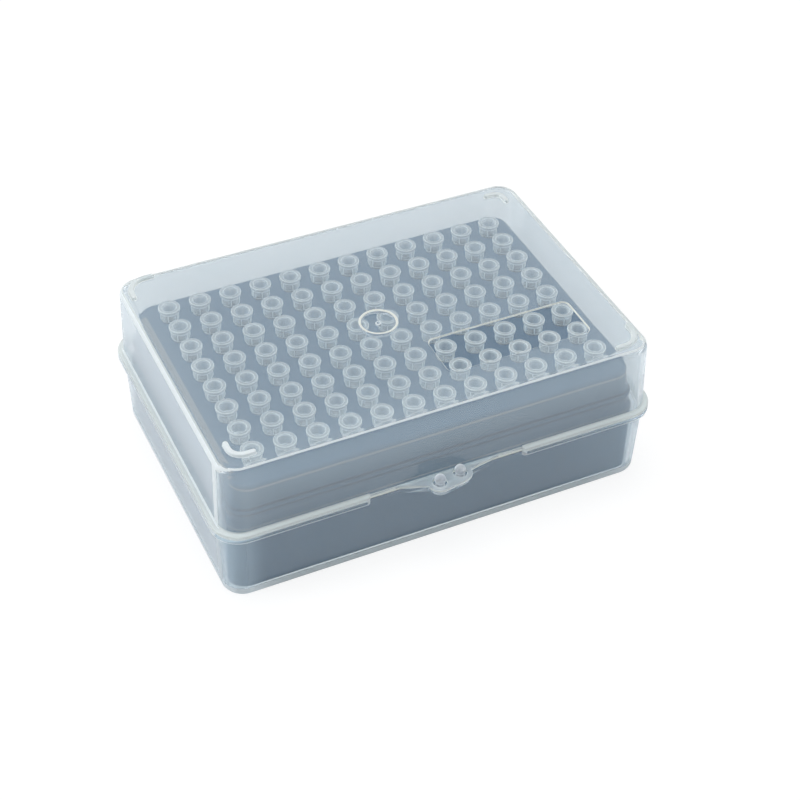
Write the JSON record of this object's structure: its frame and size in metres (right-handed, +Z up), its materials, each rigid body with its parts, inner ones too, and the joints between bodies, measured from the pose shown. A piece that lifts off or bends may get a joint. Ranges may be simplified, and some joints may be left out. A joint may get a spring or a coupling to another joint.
{
  "type": "box of pipette tips",
  "caption": "Small hinged plastic box with a clear lid, a blue rack and clear pipette tips standing in its holes, closed by a front tab on ball studs.",
  "frame": {"origin": "on the surface that the tray stands on, under the middle of the tip grid and of the whole box", "axes": "+X runs along the twelve columns, +Y points to the hinge at the back, +Z is up"},
  "size_m": [0.1276, 0.0994, 0.0465],
  "materials": {
    "frosted_plastic": "slightly milky moulded polypropylene, smooth, walls let the rack show through",
    "clear_plastic": "clear moulded polypropylene with a faint haze, polished outside",
    "blue_plastic": "dark blue moulded plastic, satin, smooth rounded steps",
    "tip_plastic": "natural clear polypropylene, thin walled, smooth"
  },
  "bodies": {
    "base": {"base_tray": "frosted_plastic", "tip_rack": "blue_plastic", "tip_A1": "tip_plastic", "tip_C1": "tip_plastic", "tip_E1": "tip_plastic", "tip_G1": "tip_plastic", "tip_B2": "tip_plastic", "tip_D2": "tip_plastic", "tip_F2": "tip_plastic", "tip_H2": "tip_plastic", "tip_A3": "tip_plastic", "tip_C3": "tip_plastic", "tip_E3": "tip_plastic", "tip_G3": "tip_plastic", "tip_B4": "tip_plastic", "tip_D4": "tip_plastic", "tip_F4": "tip_plastic", "tip_H4": "tip_plastic", "tip_A5": "tip_plastic", "tip_C5": "tip_plastic", "tip_E5": "tip_plastic", "tip_G5": "tip_plastic", "tip_B6": "tip_plastic", "tip_D6": "tip_plastic", "tip_F6": "tip_plastic", "tip_H6": "tip_plastic", "tip_A7": "tip_plastic", "tip_C7": "tip_plastic", "tip_E7": "tip_plastic", "tip_G7": "tip_plastic", "tip_B8": "tip_plastic", "tip_D8": "tip_plastic", "tip_F8": "tip_plastic", "tip_H8": "tip_plastic", "tip_A9": "tip_plastic", "tip_C9": "tip_plastic", "tip_E9": "tip_plastic", "tip_G9": "tip_plastic", "tip_B10": "tip_plastic", "tip_D10": "tip_plastic", "tip_F10": "tip_plastic", "tip_H10": "tip_plastic", "tip_A11": "tip_plastic", "tip_C11": "tip_plastic", "tip_E11": "tip_plastic", "tip_G11": "tip_plastic", "tip_B12": "tip_plastic", "tip_D12": "tip_plastic", "tip_F12": "tip_plastic", "tip_H12": "tip_plastic"},
    "lid": {"lid": "clear_plastic"}
  },
  "joints": [
    {"name": "lid_hinge", "type": "hinge", "parent": "base", "child": "lid", "pos_m": [0, 0.0478, 0.0232], "axis": [-1, 0, 0], "range_deg": [0, 178]}
  ]
}
